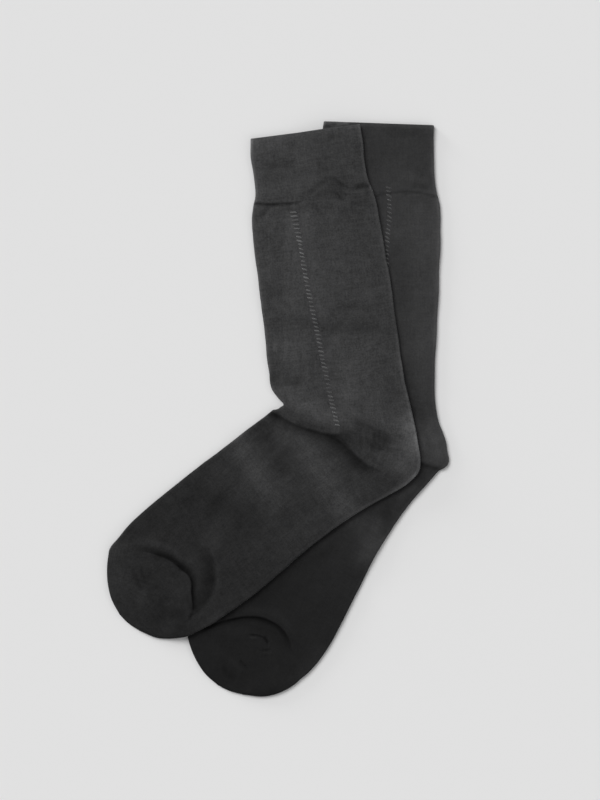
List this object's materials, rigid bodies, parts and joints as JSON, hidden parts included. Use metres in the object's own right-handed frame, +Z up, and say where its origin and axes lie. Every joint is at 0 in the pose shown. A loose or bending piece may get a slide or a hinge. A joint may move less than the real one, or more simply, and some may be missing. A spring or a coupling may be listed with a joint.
{
  "type": "pair of socks",
  "caption": "Long fine-knit tube socks laid flat, one crossed over the other, each with a doubled cuff, a raised line of slanted stitches down the leg, a turned heel and a rounded toe.",
  "frame": {"origin": "middle of the pair's outline, on the surface that it lies on", "axes": "+X towards the heels, +Y from the toes to the cuffs, +Z up off the surface"},
  "size_m": [0.2638, 0.443, 0.0106],
  "materials": {
    "fine_knit": "soft matt fine knit"
  },
  "bodies": {
    "root": {"sock_under": "fine_knit", "sock_over": "fine_knit"}
  },
  "joints": []
}
